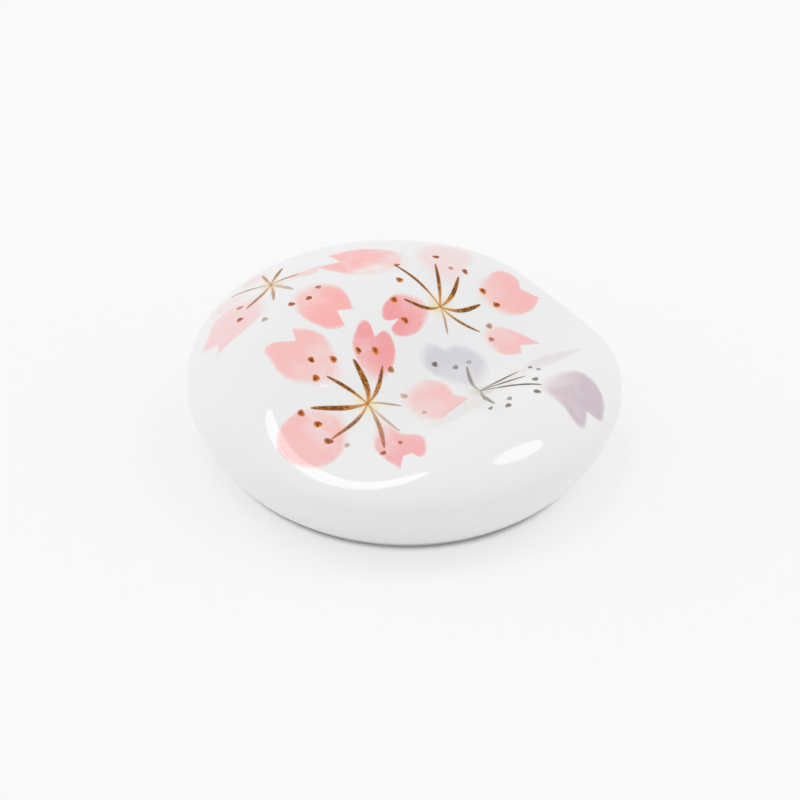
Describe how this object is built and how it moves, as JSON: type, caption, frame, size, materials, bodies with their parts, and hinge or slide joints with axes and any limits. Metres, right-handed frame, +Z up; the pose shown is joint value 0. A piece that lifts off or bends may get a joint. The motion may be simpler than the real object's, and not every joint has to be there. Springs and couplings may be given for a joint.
{
  "type": "chopstick rest",
  "caption": "Round pebble-shaped porcelain chopstick rest with a dip pressed across its top, a bare foot ring and cherry blossoms in overglaze enamel.",
  "frame": {"origin": "centre of the foot on the table, under the middle of the body's bounding box", "axes": "+Z up from the table; +X along the dip, the way the chopsticks lie, towards the dip's lower end; +Y across the dip, towards the broad high hump, so the narrow hump is at -Y"},
  "size_m": [0.046, 0.0454, 0.015],
  "materials": {
    "biscuit_porcelain": "unglazed, fine matt",
    "clear_glaze": "clear high gloss over white",
    "enamel_pink": "fired overglaze enamel, gloss, watercolour-like",
    "enamel_pale_pink": "fired overglaze enamel, gloss, thin",
    "enamel_lilac": "fired overglaze enamel, gloss, thin",
    "enamel_pale_yellow": "fired overglaze enamel, gloss, thin wash",
    "enamel_brown": "fired overglaze enamel, brush strokes",
    "enamel_rust": "fired overglaze enamel, dots",
    "enamel_grey": "fired overglaze enamel, strokes and dots"
  },
  "bodies": {
    "root": {"porcelain_body": "biscuit_porcelain", "outer_glaze": "clear_glaze", "base_glaze": "clear_glaze", "front_petal_1": "enamel_pink", "front_petal_2": "enamel_pink", "front_petal_3": "enamel_pink", "front_petal_4": "enamel_pink", "front_petal_5": "enamel_pink", "front_eye": "enamel_pale_yellow", "front_filaments": "enamel_brown", "front_anthers": "enamel_rust", "upper_petal_1": "enamel_pink", "upper_petal_2": "enamel_pink", "upper_petal_3": "enamel_pale_pink", "upper_petal_4": "enamel_pink", "upper_petal_5": "enamel_pink", "upper_eye": "enamel_pale_yellow", "upper_filaments": "enamel_brown", "upper_anthers": "enamel_rust", "left_petal_1": "enamel_pink", "left_petal_2": "enamel_pink", "left_petal_3": "enamel_pale_pink", "left_petal_4": "enamel_pale_pink", "left_petal_5": "enamel_pale_pink", "left_eye": "enamel_pale_yellow", "left_filaments": "enamel_brown", "left_anthers": "enamel_rust", "lilac_petal_1": "enamel_lilac", "lilac_petal_2": "enamel_lilac", "lilac_petal_3": "enamel_lilac", "lilac_petal_4": "enamel_lilac", "lilac_petal_5": "enamel_lilac", "lilac_eye": "enamel_pale_yellow", "lilac_filaments": "enamel_grey", "lilac_anthers": "enamel_grey"}
  },
  "joints": []
}
